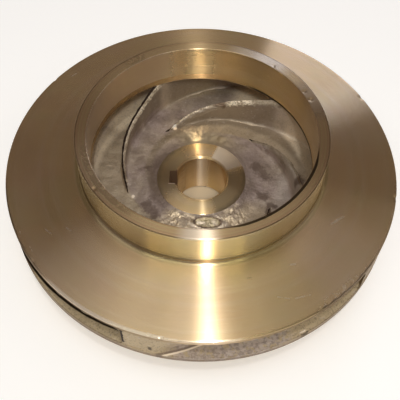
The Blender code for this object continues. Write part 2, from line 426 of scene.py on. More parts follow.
def neck_marks(finish):
    """The browner top of the ring, dark lines along its edges, and skin left on part of it; painted
    highlights down its front and across its top, a painted reflection on its top at the back right
    with painted shade beside it, and painted shadow along its inner edge at the front right.
    """
    radius, z, sector = finish.radius, finish.z, finish.sector
    ragged = finish.noise(0.003, detail=4.0, roughness=0.7, seed=4.0)
    bands = finish.rings(0.0023, seed=5.0)
    top = z.above(NECK_TOP - 0.7 * MM, 0.2 * MM)
    gleam = sector(258, 298, 14) * (1 - top)
    skin = radius.below(NECK_INNER + 4.5 * MM, 1.5 * MM) * ragged.above(0.46, 0.08)
    patch = sector(122, 133, 6) * ragged.above(0.50, 0.06)
    outer_line = radius.above(NECK_OUTER - 0.65 * MM, 0.25 * MM) * top
    # Painted shadow along the ring's inner edge at the front right, widest at the right.
    spread = (0.8 + sector(286, 344, 10) * 1.1) * MM
    inner_line = (radius - spread).below(NECK_INNER, 0.3 * MM) * sector(272, 350, 8)
    foot = z.below(NECK_FOOT + 1.1 * MM, 0.5 * MM) * radius.above(NECK_OUTER - 0.4 * MM, 0.2 * MM)
    return [
        (top, NECK_TOP_BRONZE, 0.26),
        (bands.above(0.52, 0.12) * top * 0.5, BRONZE_BROWN, 0.26),
        (bands.below(0.44, 0.12) * top * 0.5, BRONZE_OLIVE, 0.26),
        # Painted highlight down the front of the ring's outside.
        (gleam * 0.6, NECK_GLEAM, 0.26),
        # Painted reflection of the window on the ring's top at the back right.
        (top * sector(46, 74, 14) * 0.8, BRONZE_WHITE, 0.27),
        ((skin * sector(192, 238, 12)).larger(patch) * top * 0.35, TARNISH_AND_SHADE, 0.32),
        (outer_line * 0.7, TARNISH_AND_SHADE, 0.4),
        # Painted highlight: the front lamps' streak across the ring's top.
        (top * sector(262, 277, 8) * 0.7, BRONZE_WHITE, 0.26),
        # Painted shade on the ring's top at the right, beside the window's reflection.
        (top * sector(10, 34, 10) * 0.75, RIM_BROWN, 0.28),
        (inner_line * top * 0.85, BLACK, 0.6),
        (foot * 0.5, TARNISH_AND_SHADE, 0.4)]


def hub_marks(finish):
    """A fan of painted reflection and two fans of painted shade on the hub's face, painted shade
    round its border, the dulled chamfer of the bore, and a painted highlight on an edge at the
    keyway."""
    radius, sector = finish.radius, finish.sector
    ragged = finish.noise(0.005, detail=4.0, seed=9.0)
    face = finish.z.above(HUB_FACE - 0.5 * MM, 0.2 * MM)
    # Painted shade: the fans of the hub's face that catch no reflection.
    dull = sector(118, 212, 24).larger(sector(290, 375, 14))
    # Painted shade round the border of the hub's face, where it meets the floor.
    border = (radius + (ragged - 0.5) * 5 * MM).above(HUB_RADIUS - 1.7 * MM, 4 * MM)
    # Painted highlight on the near edge of the keyway.
    edge = finish.stroke((-22.4, -5.8), (-17.6, -5.8), 0.7)
    chamfer = radius.below(BORE_RADIUS + 1.4 * MM, 0.4 * MM)
    return [
        (border * dull * 0.8, HUB_BORDER_SHADE, 0.5),
        # Painted reflection: a pale fan on the hub's face where the window reflects.
        (face * sector(22, 68, 6) * 0.95, BRONZE_WHITE, 0.34),
        (face * dull * 0.65, HUB_SHADE, 0.3),
        (face * edge, BRONZE_WHITE, 0.5),
        (chamfer * 0.5, BRONZE, 0.5)]


def bore_marks(finish):
    """Painted shade on stretches at the back of the neck's inside, paler ones on its left and right,
    and a painted highlight streaked down the back of the bore with a brown stretch beside it."""
    sector = finish.sector
    neck = finish.radius.above((BORE_RADIUS + NECK_INNER) / 2, 1 * MM)
    bore = 1 - neck
    return [
        # Painted shade over the back of the neck's inside, where a lamp's highlight falls.
        (neck * sector(82, 102, 10) * 0.5, BORE_SHADE, 0.3),
        (neck * sector(36, 64, 12) * 0.3, BORE_SHADE, 0.3),
        (neck * sector(-8, 22, 12) * 0.25, BRONZE_WHITE, 0.3),
        (neck * sector(106, 192, 14) * 0.6, BRONZE_WHITE, 0.3),
        # Painted highlight: a streak down the back of the bore.
        (bore * sector(74, 102, 18) * 0.75, BRONZE_WHITE, 0.3),
        (bore * sector(126, 175, 18) * 0.5, RIM_BROWN, 0.3)]


face_bronze = turned_bronze("turned face bronze", BRONZE, face_marks)
neck_bronze = turned_bronze("turned neck bronze", NECK_BRONZE, neck_marks, brown=0.15)
hub_bronze = turned_bronze("turned hub bronze", BRONZE, hub_marks)
bore_bronze = turned_bronze("bored bronze", BORE_BRONZE, bore_marks, brown=0.2)
print("turned finishes:", face_bronze.name, neck_bronze.name, hub_bronze.name, bore_bronze.name)

# %% [markdown]
# ## Bronze as it left the mould
#
# The passages were never touched by a tool. Their skin is grainy and dull, a grey mauve with
# darker stains where water stood. Two passages have been fettled smoother and show more metal,
# the floor in front of the hub is lumpy and bright, and the floor behind the hub is turned. The
# rim carries its own marks: a painted shadow under the shroud's lip, a crack, and one slanted
# seam with a painted highlight beside it.

# %% Colours and places on the cast skin
CAST = (0.41, 0.322, 0.287)
CAST_WARM = (0.45, 0.365, 0.275)
CAST_PALE = (0.62, 0.54, 0.46)
# Stain colour; the same colour also serves as painted shade round the hub's foot.
CAST_STAIN_AND_SHADE = (0.155, 0.107, 0.08)
CAST_SMOOTH = (0.585, 0.48, 0.325)
CAST_BRIGHT = (0.86, 0.70, 0.48)
CAST_WET = (0.50, 0.39, 0.26)
CAST_FOLD = (0.58, 0.48, 0.30)
CAST_VANE = (0.30, 0.235, 0.165)
CAST_OUTLET = (0.56, 0.44, 0.27)
CAST_ROUGH = (0.56, 0.47, 0.42)
# Painted light for the floor far under the roof.
CAST_PAINTED_LIGHT = (0.88, 0.73, 0.52)
CAST_RIM = (0.365, 0.27, 0.16)
FLOOR_TURNED = (0.66, 0.58, 0.43)
EDGE_DULL = (0.44, 0.35, 0.24)
EDGE_BARE = (0.80, 0.69, 0.52)
GLINT = (1.0, 0.95, 0.86)
KEYWAY_BROWN = (0.19, 0.11, 0.06)

# Stains on the floor in millimetres: from one end to the other, and how wide.
DARK_STAINS = [
    ((39, 14), (45, 5), 8.5), ((41, -12), (44, -12), 7.0), ((47, -18), (46, -24), 3.4),
    ((47, -18), (51, -20), 3.6), ((69, 4), (70, 0), 6.0), ((-37, -22), (-31, -30), 9.0),
    ((-37, 9), (-34, 4), 5.0)]
FAINT_STAINS = [
    ((-42, -18), (-38, -6), 6.0), ((-43, 14), (-47, 26), 8.0), ((-38, 36), (-48, 42), 8.0),
    ((35, -5), (37, -9), 4.0), ((-20, 62), (-30, 54), 8.0), ((37, 20), (50, 6), 12.0),
    ((-36, 2), (-37, -6), 9.0)]

# Spots as x, y and size in millimetres, sectors in degrees.
GLINTS = [(-46.7, -14.8, 1.2), (-20.5, 47.5, 1.4)]
VANE_END_STAIN = (65.5, -11, 3.6)
LUMP_SECTOR = (232, 318)
LUMP_RADII = (31.5 * MM, 45 * MM)
FOLD_PLACE = Vector((5.0 * MM, -36.2 * MM))
FOLD_SIZE = Vector((9 * MM, 3.8 * MM))
TURNED_SECTOR = (62, 114)
SMOOTH_PASSAGES = [(44, 106), (188, 250)]
SHADED_PASSAGE = (84, 114)
LIP_SHADOW_EDGE = 104.9 * MM
LIP_SHADOW_DRIFT = 9.4 * MM
CRACK_AZIMUTH = -109.8 * DEGREE
CRACK_HALF_WIDTH = 0.0062

# %% The grain of the skin
cast = Finish("as-cast bronze")
radius, azimuth, z, sector = cast.radius, cast.azimuth, cast.z, cast.sector
clouds = cast.noise(0.026, detail=5.0)
film = cast.noise(0.011, detail=5.0, seed=5.0)
sand = cast.noise(0.0013, detail=4.0, roughness=0.7, seed=2.0)
specks = cast.noise(0.0022, detail=3.0, seed=14.0)
ragged = cast.noise(0.004, detail=5.0, roughness=0.65, seed=9.0)

# %% [markdown]
# `phase` is the azimuth from a vane's inner line, so that a range of it is one passage.

# %% Stains and dressed stretches of the passages
stains = cast.any([cast.strokes(DARK_STAINS, ragged), cast.strokes(FAINT_STAINS, ragged) * 0.45,
                   cast.spot(*VANE_END_STAIN) * z.above(44 * MM, 4 * MM)])
glint = cast.any([cast.spot(*place) for place in GLINTS])
phase = azimuth + (radius / VANE_INNER_RADIUS).log() / math.tan(VANE_INNER_ANGLE)
phase = phase.sum("WRAP", 2 * math.pi, 0.0)
smooth = cast.any([phase.between(first * DEGREE, last * DEGREE, 12 * DEGREE)
                   for first, last in SMOOTH_PASSAGES])
smooth = smooth * radius.between(43 * MM, 90 * MM, 6 * MM)
shade = phase.between(SHADED_PASSAGE[0] * DEGREE, SHADED_PASSAGE[1] * DEGREE, 14 * DEGREE)
shade = shade * radius.below(80 * MM, 6 * MM)
upright = z.above(FLOOR_AT_RIM + 6 * MM, 4 * MM) * radius.below(NECK_INNER - 1 * MM, 3 * MM)
front = sector(286, 332, 14) * radius.between(35 * MM, 58 * MM, 8 * MM)
turned = sector(*TURNED_SECTOR, 26) * radius.below(44 * MM, 8 * MM)
# Painted shade on the floor round the hub's foot, heaviest at the left.
painted_shade = radius.below(38 * MM, 7 * MM) * (0.4 + sector(140, 225, 30) * 0.5) * (1 - turned)
outlet = radius.above(108 * MM, 30 * MM)
# Painted light: a much paler tone on the floor under the roof, where the lamps hardly reach.
painted_light_deep = cast.any([sector(-12, 40, 12) * 0.7, sector(40, 74, 10),
                 sector(112, 146, 12), sector(146, 190, 14) * 0.7])
painted_light_deep = painted_light_deep * radius.above(74 * MM, 5 * MM)
# Painted shade at the back of the eye, under the shroud's roof.
painted_shade_back = sector(74, 110, 12) * radius.above(70 * MM, 10 * MM)
# Painted light: a paler floor beside the neck at the right, where the neck's shadow falls.
pale = sector(336, 366, 12) * radius.between(53 * MM, 68 * MM, 8 * MM)

# %% Lumps in front of the hub, and the closed fold among them
lumpy = sector(*LUMP_SECTOR, 16) * radius.between(*LUMP_RADII, 4 * MM)
bright = lumpy * ragged.above(0.50, 0.12)
across = (cast.x - FOLD_PLACE.x) / FOLD_SIZE.x
away = (cast.y - FOLD_PLACE.y) / FOLD_SIZE.y
around = (across ** 2.0 + away ** 2.0) ** 0.5
hollow = around.below(0.95, 0.15)
crease = around.between(0.92, 1.12, 0.12)
# Painted highlight: a bright arc on the fold's near side and two bright strokes.
fold = cast.any([around.between(1.12, 1.40, 0.2) * cast.y.below(FOLD_PLACE.y, 2 * MM),
                 cast.stroke((-1.5, -36.4), (2.5, -36.6), 1.5),
                 cast.stroke((9, -35), (11, -37.5), 2.2) * 0.7])

# %% [markdown]
# `foot` is the azimuth from the first vane's outer line, so that a seam follows the vane.

# %% Marks at the rim
rim = radius.above(RIM_RADIUS - 0.6 * MM, 0.3 * MM)
low = z.below(FLOOR_AT_RIM + 3 * MM, 2 * MM)
nick = cast.stroke((63.5, -113.0), (67.2, -110.8), 0.8, ragged) * low
chip = cast.stroke((62.8, -111.8), (65.6, -110.2), 1.0, ragged) * low
rough = sector(263, 296, 5) * ragged.above(0.44, 0.12)
bare = rough.larger(sector(250, 264, 4) * 0.85)
# Painted shade low on the rim, darkest at the left.
painted_shade_low = rim * z.below(RIM_BOTTOM + 4 * MM, 5 * MM) * 0.65
# Painted shadow: a black band on the floor just inside the rim at the front left, under the lip.
slot = radius + azimuth * LIP_SHADOW_DRIFT - sector(196, 226, 10) * 0.3 * MM
slot = slot.below(LIP_SHADOW_EDGE, 0.5 * MM) * sector(203, 249, 2) * radius.above(116 * MM, 4 * MM)
crack = (azimuth + (ragged - 0.5) * 0.016 - CRACK_AZIMUTH).sum("ABSOLUTE")
crack = crack.below(CRACK_HALF_WIDTH, 0.003) * z.above(35.5 * MM, 1 * MM)
crack = crack * radius.above(126 * MM, 1 * MM)
pit = sector(257.2, 258.2, 0.6) * z.between(35.5 * MM, 40 * MM, 2 * MM) * rim
gaps_and_lip_shadow = cast.any([slot, crack, nick * 0.6, pit * 0.8])
mouth = sector(255, 276, 3) * radius.above(110 * MM, 3 * MM)
foot = azimuth - VANE_TIP_AZIMUTH - (RIM_RADIUS / radius).log() / math.tan(VANE_OUTER_ANGLE)
foot = foot.sum("WRAP", math.pi, -math.pi)
seam = foot.between(5.2 * DEGREE, 6.8 * DEGREE, 0.8 * DEGREE) * mouth
# Painted highlight: a bright line beside the seam, along the vane's wall.
painted_highlight_line = foot.between(6.9 * DEGREE, 8.3 * DEGREE, 0.6 * DEGREE) * mouth
painted_highlight_line = painted_highlight_line * z.above(FLOOR_AT_RIM - 0.9 * MM, 0.6 * MM)

# %% The whole skin
tone = cast.layered(CAST, [
    (clouds.above(0.50, 0.30) * 0.8, CAST_WARM),
    (film.above(0.56, 0.16) * 0.40, CAST_STAIN_AND_SHADE),
    (smooth * 0.7, CAST_SMOOTH),
    (lumpy.larger(front) * 0.75, CAST_WET),
    (upright.larger(shade) * 0.8, CAST_VANE),
    (outlet, CAST_OUTLET),
    (painted_light_deep * 0.85, CAST_PAINTED_LIGHT),
    (painted_shade_back * 0.4, CAST_VANE),
    (pale * 0.5, CAST_PALE),
    (rough * 0.8, CAST_ROUGH),
    (rough * specks.below(0.47, 0.14) * 0.45, CAST_STAIN_AND_SHADE),
    (seam * 0.8, CAST_STAIN_AND_SHADE),
    (rim * (1 - bare) * 0.9, CAST_RIM),
    (rim * sector(291, 306, 6) * 0.5, CAST_OUTLET),
    (mouth * 0.15, CAST_RIM),
    (sand.below(0.42, 0.14) * (0.30 + outlet * 0.30) * (1 - rough * 0.6), CAST_STAIN_AND_SHADE),
    (specks.above(0.64, 0.10) * 0.35, CAST_PALE),
    (stains.larger(painted_shade) * 0.85, CAST_STAIN_AND_SHADE),
    (bright * (1 - hollow) * 0.7, CAST_BRIGHT),
    (hollow * 0.8, CAST_FOLD),
    (crease * 0.8, TARNISH_AND_SHADE),
    (painted_shade_low.larger(rim * sector(190, 216, 6) * 0.75), TARNISH_AND_SHADE),
    (cast.any([painted_highlight_line * 0.9, glint, fold, chip * 0.7]), BRONZE_WHITE),
    (gaps_and_lip_shadow * 0.97, BLACK)])
metal = 0.45 + (film - 0.5) * 0.3
for mask, share in [(smooth * 0.5, 0.8), (bright.larger(hollow), 0.8),
                    (outlet.larger(painted_light_deep), 0.25), (gaps_and_lip_shadow, 1.0)]:
    metal = cast.blend(mask, metal, share)
dull = cast.blend(smooth.larger(bright), 0.50 + (clouds - 0.5) * 0.2, 0.36)
dull = cast.blend(rim, dull, 0.6)
cast.set(Base_Color=tone, Roughness=dull, Metallic=metal,
         Normal=cast.bump(sand + clouds * 0.6, 0.0004))
cast.over(turned * 0.9, Base_Color=FLOOR_TURNED, Roughness=0.30, Metallic=1.0,
          Anisotropic=0.9, Anisotropic_Rotation=QUARTER_TURN)
passage_bronze = cast.material
print("as-cast finish:", passage_bronze.name)

# %% [markdown]
# The free edges of the vanes are knocked about, so their skin is off and bare metal shows. Painted
# shadow lies along one side of each free edge, widest on one vane, and painted shade darkens the
# keyway's walls.

# %% Worn edges, painted shadow and painted shade
worn = Finish("worn bronze edge", Metallic=0.6)
radius, sector = worn.radius, worn.sector
grit = worn.noise(0.0012, detail=4.0, roughness=0.7)
patches = worn.noise(0.006, detail=3.0, seed=6.0)
glint = worn.any([worn.spot(*place) for place in GLINTS])
blotch = worn.stroke((8.5, 61.5), (15, 59.5), 4.6).larger(worn.spot(*VANE_END_STAIN))
tone = worn.layered(EDGE_DULL, [
    (patches.above(0.50, 0.14), EDGE_BARE),
    (grit.below(0.45, 0.12) * 0.7, CAST_STAIN_AND_SHADE),
    (grit.above(0.56, 0.06) * 0.6, BRONZE_WHITE),
    # Painted highlight along part of one vane's free edge in the eye.
    (radius.between(54 * MM, 66 * MM, 6 * MM) * sector(125, 175, 8) * 0.4, BRONZE_WHITE),
    (sector(-40, 58, 10) * 0.75, CAST_VANE),
    (blotch * 0.95, TARNISH_AND_SHADE),
    (glint, GLINT)])
worn.set(Base_Color=tone, Roughness=0.42 + (patches - 0.5) * 0.2,
         Normal=worn.bump(grit, 0.0005))
worn_edge = worn.material
# Painted shadow along one side of each vane's free edge.
painted_shadow = Finish("grime under the edge", Base_Color=BLACK, Roughness=0.8,
               Specular_IOR_Level=0.1).material
# Painted shade: the keyway's walls made dark brown, as a narrow recess is dark.
keyway_painted_shade = Finish("dirt in the keyway", Base_Color=KEYWAY_BROWN, Roughness=0.6,
                     Metallic=0.3).material
print("worn and shaded finishes:", worn_edge.name, painted_shadow.name, keyway_painted_shade.name)

# %% [markdown]
# ## Turned pieces
#
# Each round piece is spun from half of its section. `spun` draws the section as a chain of
# edges and turns it through a full circle. `paint` then gives each stretch its finish, and
# `roughen` moves the corners of the as-cast stretches a little.

# %% Spinning and finishing a section
def add_object(name, data):
    piece = bpy.data.objects.new(name, data)
    bpy.context.scene.collection.objects.link(piece)
    return piece


def smooth_object(shape, node, materials, sharp=35.0):
    """Makes the finished object at the origin, marks its hard edges, hangs it on the root body and
    hides its solid.
    """
    name = node + "_dressed"
    bmesh.ops.recalc_face_normals(shape, faces=shape.faces)
    mesh = bpy.data.meshes.new(name)
    shape.to_mesh(mesh)
    shape.free()
    for material in materials:
        mesh.materials.append(material)
    mesh.polygons.foreach_set("use_smooth", [True] * len(mesh.polygons))
    mesh.set_sharp_from_angle(angle=math.radians(sharp))
    piece = add_object(name, mesh)
    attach(piece, "root")
    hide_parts(node)
    print("%s: %d faces" % (name, len(mesh.polygons)))


def arc(centre, radius, start, end, count):
    """Points of an arc in the section, angles in degrees."""
    turns = [math.radians(start + (end - start) * i / count) for i in range(count + 1)]
    return [(centre[0] + radius * math.cos(a), centre[1] + radius * math.sin(a)) for a in turns]


def spaced(first, last, pitch):
    """Points from first towards last, about one pitch apart, without the last."""
    first, last = Vector(first), Vector(last)
    count = max(1, round((last - first).length / pitch))
    return [tuple(first.lerp(last, i / count)) for i in range(count)]


def spun(section, steps):
    """Spins a closed section, given as (radius, height) points, through a quarter turn.
    Two copies, turned and joined, then make the quarter a half and the half a whole."""
    shape = bmesh.new()
    corners = [shape.verts.new((r, 0.0, z)) for r, z in section]
    for corner, following in zip(corners, corners[1:] + corners[:1]):
        shape.edges.new((corner, following))
    bmesh.ops.spin(shape, geom=shape.verts[:] + shape.edges[:], cent=(0, 0, 0), axis=(0, 0, 1),
                   angle=math.pi / 2, steps=steps // 4)
    for turn in (math.pi / 2, math.pi):
        whole = shape.verts[:] + shape.edges[:] + shape.faces[:]
        copy = bmesh.ops.duplicate(shape, geom=whole)["geom"]
        turned = [part for part in copy if isinstance(part, bmesh.types.BMVert)]
        bmesh.ops.rotate(shape, verts=turned, cent=(0, 0, 0), matrix=Matrix.Rotation(turn, 3, "Z"))
        bmesh.ops.remove_doubles(shape, verts=shape.verts, dist=1e-6)
    return shape


def polar(place):
    return math.hypot(place.x, place.y), math.atan2(place.y, place.x) % (2 * math.pi), place.z


def paint(shape, rule):
    """Gives each face the material number that the rule finds for its centre."""
    for face in shape.faces:
        face.material_index = rule(*polar(face.calc_center_median()))


def roughen(shape, rule, depth, size, seed=0.0):
    """Moves corners in and out by noise, by as much of the depth as the rule gives."""
    shape.normal_update()
    for corner in shape.verts:
        radius, turn, height = polar(corner.co)
        share = rule(radius, turn, height)
        if share > 0:
            lift = noise.fractal(corner.co / size + Vector((seed, seed, 0)), 1.0, 2.0, 4)
            corner.co += corner.normal * (lift * depth * share)


def on_circle(radius, degrees, height):
    turn = math.radians(degrees)
    return radius * math.cos(turn), radius * math.sin(turn), height


def dent(shape, place, reach, depth):
    """Presses a shallow hollow into a spot, given as (x, y, z)."""
    place = Vector(place)
    for corner in shape.verts:
        away = (corner.co - place).length / reach
        if away < 1:
            corner.co -= corner.normal * (depth * (1 - away * away) ** 2)


def smoothstep(low, high, value):
    share = min(1.0, max(0.0, (value - low) / (high - low)))
    return share * share * (3 - 2 * share)


# %% [markdown]
# ## The front shroud
#
# The front shroud is a thin cone with the eye in its middle. Its top is turned, and its
# underside, with the bend up into the eye, is as cast. Its rim is a narrow lip over the outlets,
# with an uneven lower edge and a few knocks along the upper one.

# %% The front shroud
RIM_EDGE = 0.5 * MM

# Knocks on the rim: azimuth in degrees, then reach and depth in millimetres.
RIM_KNOCKS = [(303.5, 1.8, 0.6), (306, 2.2, 0.5), (309, 1.8, 0.5), (312, 2.0, 0.4),
              (316, 1.8, 0.4), (320, 1.4, 0.3), (258, 1.2, 0.4), (261, 1.4, 0.35),
              (219, 1.6, 0.35), (147, 2.4, 0.4), (28, 2.6, 0.4), (348, 2.0, 0.4)]


def make_front_shroud():
    fillet_radius = NECK_OUTER + NECK_FILLET
    fillet_height = face_height(fillet_radius) + NECK_FILLET
    edge_radius = RIM_RADIUS - RIM_EDGE
    fine_radius = RIM_RADIUS - 9 * MM
    foot = arc((fillet_radius, fillet_height), NECK_FILLET, 180, 265, 8)
    face = spaced(foot[-1], (fine_radius, face_height(fine_radius)), 3 * MM)[1:]
    face += spaced((fine_radius, face_height(fine_radius)),
                   (edge_radius, face_height(edge_radius)), 0.9 * MM)
    edge = arc((edge_radius, RIM_TOP - RIM_EDGE), RIM_EDGE, 85, 0, 3)
    lip = spaced((RIM_RADIUS, RIM_TOP - 1.2 * MM), (RIM_RADIUS, ROOF_AT_RIM), 0.7 * MM)
    radii = [NECK_INNER + (RIM_RADIUS - NECK_INNER) * i / 48 for i in range(49)]
    roof = [(r, roof_height(r)) for r in reversed(radii)]
    inside = spaced((NECK_INNER, NECK_LIP), (NECK_INNER, NECK_FOOT), 1.2 * MM)[1:]
    top = [(NECK_INNER, NECK_FOOT), (NECK_OUTER, NECK_FOOT)]
    shape = spun(foot + face + edge + lip + roof + inside + top, steps=720)

    def under(radius, turn, height):
        below = height < roof_height(min(radius, RIM_RADIUS)) + 0.3 * MM
        return 1.0 if below and NECK_INNER + 1 * MM < radius < RIM_RADIUS - 0.5 * MM else 0.0

    roughen(shape, under, 0.5 * MM, 7 * MM)
    for corner in shape.verts:
        radius, turn, height = polar(corner.co)
        if radius > RIM_RADIUS - 0.5 * MM and height < ROOF_AT_RIM + 1.5 * MM:
            rise = 0.5 + noise.fractal(corner.co / (6 * MM), 1.0, 2.0, 4)
            corner.co.z += max(0.0, rise) * 0.9 * MM
    for degrees, reach, depth in RIM_KNOCKS:
        dent(shape, on_circle(RIM_RADIUS, degrees, RIM_TOP), reach * MM, depth * MM)
    paint(shape, lambda r, turn, z: 1 if z < roof_height(min(r, RIM_RADIUS)) + 0.5 * MM else 0)
    smooth_object(shape, "front_shroud", [face_bronze, passage_bronze])


make_front_shroud()

# %% [markdown]
# ## The suction neck
#
# The neck is the ring that runs in the casing's wear ring. It is turned inside and out and has
# small broken edges.

# %% The suction neck
NECK_EDGE_INNER = 0.4 * MM
NECK_EDGE_OUTER = 0.35 * MM

# Knocks on the ring's top: radius, azimuth in degrees, reach and depth.
NECK_KNOCKS = [(76.0, 28, 1.8, 0.7), (76.5, 22, 2.0, 0.8), (75.5, 51, 1.6, 0.4),
               (79.5, 217, 1.6, 0.4), (74.5, 300, 1.4, 0.4)]


def make_neck():
    outside = spaced((NECK_OUTER, NECK_TOP - NECK_EDGE_OUTER), (NECK_OUTER, NECK_FOOT), 2.5 * MM)[1:]
    inside = spaced((NECK_INNER, NECK_FOOT), (NECK_INNER, NECK_TOP - NECK_EDGE_INNER), 2.5 * MM)
    inner_middle = (NECK_INNER + NECK_EDGE_INNER, NECK_TOP - NECK_EDGE_INNER)
    outer_middle = (NECK_OUTER - NECK_EDGE_OUTER, NECK_TOP - NECK_EDGE_OUTER)
    top_in = arc(inner_middle, NECK_EDGE_INNER, 180, 90, 4)
    flat = spaced(top_in[-1], (NECK_OUTER - NECK_EDGE_OUTER, NECK_TOP), 0.9 * MM)[1:]
    top_out = arc(outer_middle, NECK_EDGE_OUTER, 90, 0, 3)
    shape = spun(top_in + flat + top_out + outside + [(NECK_OUTER, NECK_FOOT)] + inside, steps=540)
    shape.normal_update()
    for radius, degrees, reach, depth in NECK_KNOCKS:
        dent(shape, on_circle(radius * MM, degrees, NECK_TOP), reach * MM, depth * MM)
    paint(shape, lambda r, turn, z: 1 if r < NECK_INNER + 0.2 * MM else 0)
    smooth_object(shape, "suction_neck", [neck_bronze, bore_bronze])


make_neck()

# %% [markdown]
# ## The rear shroud
#
# The rear shroud closes the passages from behind. Its passage side and rim are as cast, and its
# back is turned. Drops of metal and folds in the skin stand up in front of the hub.

# %% The rear shroud
REAR_EDGE = 0.6 * MM
FINE_FLOOR_RADIUS = 52 * MM
RIM_NICK = (65.2 * MM, -112.4 * MM, FLOOR_AT_RIM)


def lump_height(x, y):
    """Height of the lumps and the closed fold in front of the hub."""
    radius, turn, _ = polar(Vector((x, y, 0)))
    low, high = (math.radians(turn) for turn in LUMP_SECTOR)
    share = smoothstep(low - 0.1, low + 0.15, turn) * (1 - smoothstep(high - 0.15, high + 0.1, turn))
    share *= smoothstep(LUMP_RADII[0] - 1 * MM, LUMP_RADII[0] + 2 * MM, radius)
    share *= 1 - smoothstep(LUMP_RADII[1] - 3 * MM, LUMP_RADII[1] + 4 * MM, radius)
    ridges = 1 - abs(noise.fractal(Vector((x, y, 0)) / (5 * MM), 1.0, 2.0, 4)) * 2
    round_fold = math.hypot((x - FOLD_PLACE.x) / FOLD_SIZE.x, (y - FOLD_PLACE.y) / FOLD_SIZE.y)
    fold = math.exp(-((round_fold - 1) / 0.16) ** 2)
    return share * max(0.0, ridges) * 0.9 * MM + fold * 0.8 * MM


def make_rear_shroud():
    inner, fine = HUB_SEAT_RADIUS, FINE_FLOOR_RADIUS
    radii = [inner + (fine - inner) * i / 32 for i in range(32)]
    radii += [fine + (RIM_RADIUS - fine) * i / 60 for i in range(61)]
    floor = [(r, floor_height(r)) for r in radii]
    rim = spaced((RIM_RADIUS, FLOOR_AT_RIM - 0.9 * MM), (RIM_RADIUS, RIM_BOTTOM + REAR_EDGE), 1 * MM)
    rim += arc((RIM_RADIUS - REAR_EDGE, RIM_BOTTOM + REAR_EDGE), REAR_EDGE, 0, -90, 3)
    back = spaced(rim[-1], (inner, RIM_BOTTOM), 4 * MM)[1:] + [(inner, RIM_BOTTOM)]
    shape = spun(floor + rim + back, steps=540)

    def passage_side(radius, turn, height):
        inside = inner + 0.1 * MM < radius < RIM_RADIUS - 0.5 * MM
        return 1.0 if inside and height > FLOOR_AT_RIM - 0.3 * MM else 0.0

    roughen(shape, passage_side, 0.40 * MM, 7 * MM)
    for corner in shape.verts:
        if passage_side(*polar(corner.co)):
            corner.co.z += lump_height(corner.co.x, corner.co.y)
    dent(shape, RIM_NICK, 3 * MM, 1.0 * MM)
    paint(shape, lambda r, turn, z: 0 if z > RIM_BOTTOM + 0.15 * MM else 1)
    smooth_object(shape, "rear_shroud", [passage_bronze, face_bronze])


make_rear_shroud()

# %% [markdown]
# ## The hub
#
# The hub is bored for the shaft and faced for the nut, and the slope from its face down to the
# floor is as cast. The keyway is made by moving the corners of the bore that lie within its
# width out to its flat bottom.

# %% The hub
CHAMFER = 1.2 * MM
BOSS_FILLET = 3.5 * MM
KEYWAY_HALF_ANGLE = 0.36


def cut_keyway(shape):
    """Moves the bore's corners on the keyway's side out to the bottom of the slot."""
    limit = HUB_RADIUS - 4 * MM
    for corner in shape.verts:
        x, y, _ = corner.co
        if x < 0 and math.hypot(x, y) < limit and abs(y) < KEYWAY_HALF + 0.05 * MM:
            corner.co.x = -KEYWAY_REACH


def make_hub():
    foot = HUB_SEAT_RADIUS + 0.6 * MM
    shoulder = arc((HUB_RADIUS, HUB_FACE - 0.5 * MM), 0.5 * MM, 90, 30, 3)
    face = [(BORE_RADIUS + CHAMFER, HUB_FACE)]
    slope = spaced(shoulder[-1], (foot, FLOOR_AT_HUB), 0.6 * MM)[1:]
    slope += [(foot, FLOOR_AT_HUB), (foot, RIM_BOTTOM + 0.5 * MM), (HUB_SEAT_RADIUS, RIM_BOTTOM)]
    boss = arc((HUB_SEAT_RADIUS, RIM_BOTTOM - BOSS_FILLET), BOSS_FILLET, 90, 180, 8)[1:]
    end = [(HUB_RADIUS, CHAMFER), (HUB_RADIUS - CHAMFER, 0.0), (BORE_RADIUS + CHAMFER, 0.0)]
    bore_top = (BORE_RADIUS, HUB_FACE - CHAMFER)
    bore = spaced((BORE_RADIUS, CHAMFER), bore_top, 4 * MM)
    shape = spun(face + shoulder + slope + boss + end + bore + [bore_top], steps=432)
    cut_keyway(shape)

    def on_slope(radius, turn, height):
        return 1.0 if radius > HUB_RADIUS + 0.5 * MM and height > FLOOR_AT_HUB - 0.2 * MM else 0.0

    roughen(shape, on_slope, 0.30 * MM, 5 * MM)
    for corner in shape.verts:
        if on_slope(*polar(corner.co)):
            corner.co.z += lump_height(corner.co.x, corner.co.y) * 0.6

    def finish_number(radius, turn, height):
        if radius < BORE_RADIUS + 0.3 * MM:
            return 1
        if radius > HUB_RADIUS + 0.3 * MM and height > RIM_BOTTOM + 0.6 * MM:
            return 3
        walls = radius < KEYWAY_REACH + 1.2 * MM and abs(turn - math.pi) < KEYWAY_HALF_ANGLE
        return 2 if walls and 0.5 * MM < height < HUB_FACE - 0.2 * MM else 0

    paint(shape, finish_number)
    smooth_object(shape, "hub",
                  [hub_bronze, bore_bronze, keyway_painted_shade, passage_bronze])


make_hub()

# %% [markdown]
# ## The vanes
#
# A vane winds backwards from the hub to the rim. It starts as a plain upright bar, a cylinder
# cut into many rings. Each ring is then laid out as the vane's section at one radius: as thick
# as the vane, wider where it meets floor and roof, and rounded on its free edge in the eye.

# %% The line of a vane
VANE_STEP = 0.25 * MM


def vane_angle(radius):
    """Angle between the vane and the circle through it."""
    start, end = VANE_BEND
    share = min(1.0, max(0.0, (radius - start) / (end - start)))
    return VANE_INNER_ANGLE + (VANE_OUTER_ANGLE - VANE_INNER_ANGLE) * share


def vane_thickness(radius):
    share = (radius - VANE_INNER_RADIUS) / (RIM_RADIUS - VANE_INNER_RADIUS)
    return VANE_NOSE_THICKNESS + (VANE_TIP_THICKNESS - VANE_NOSE_THICKNESS) * max(0.0, share)


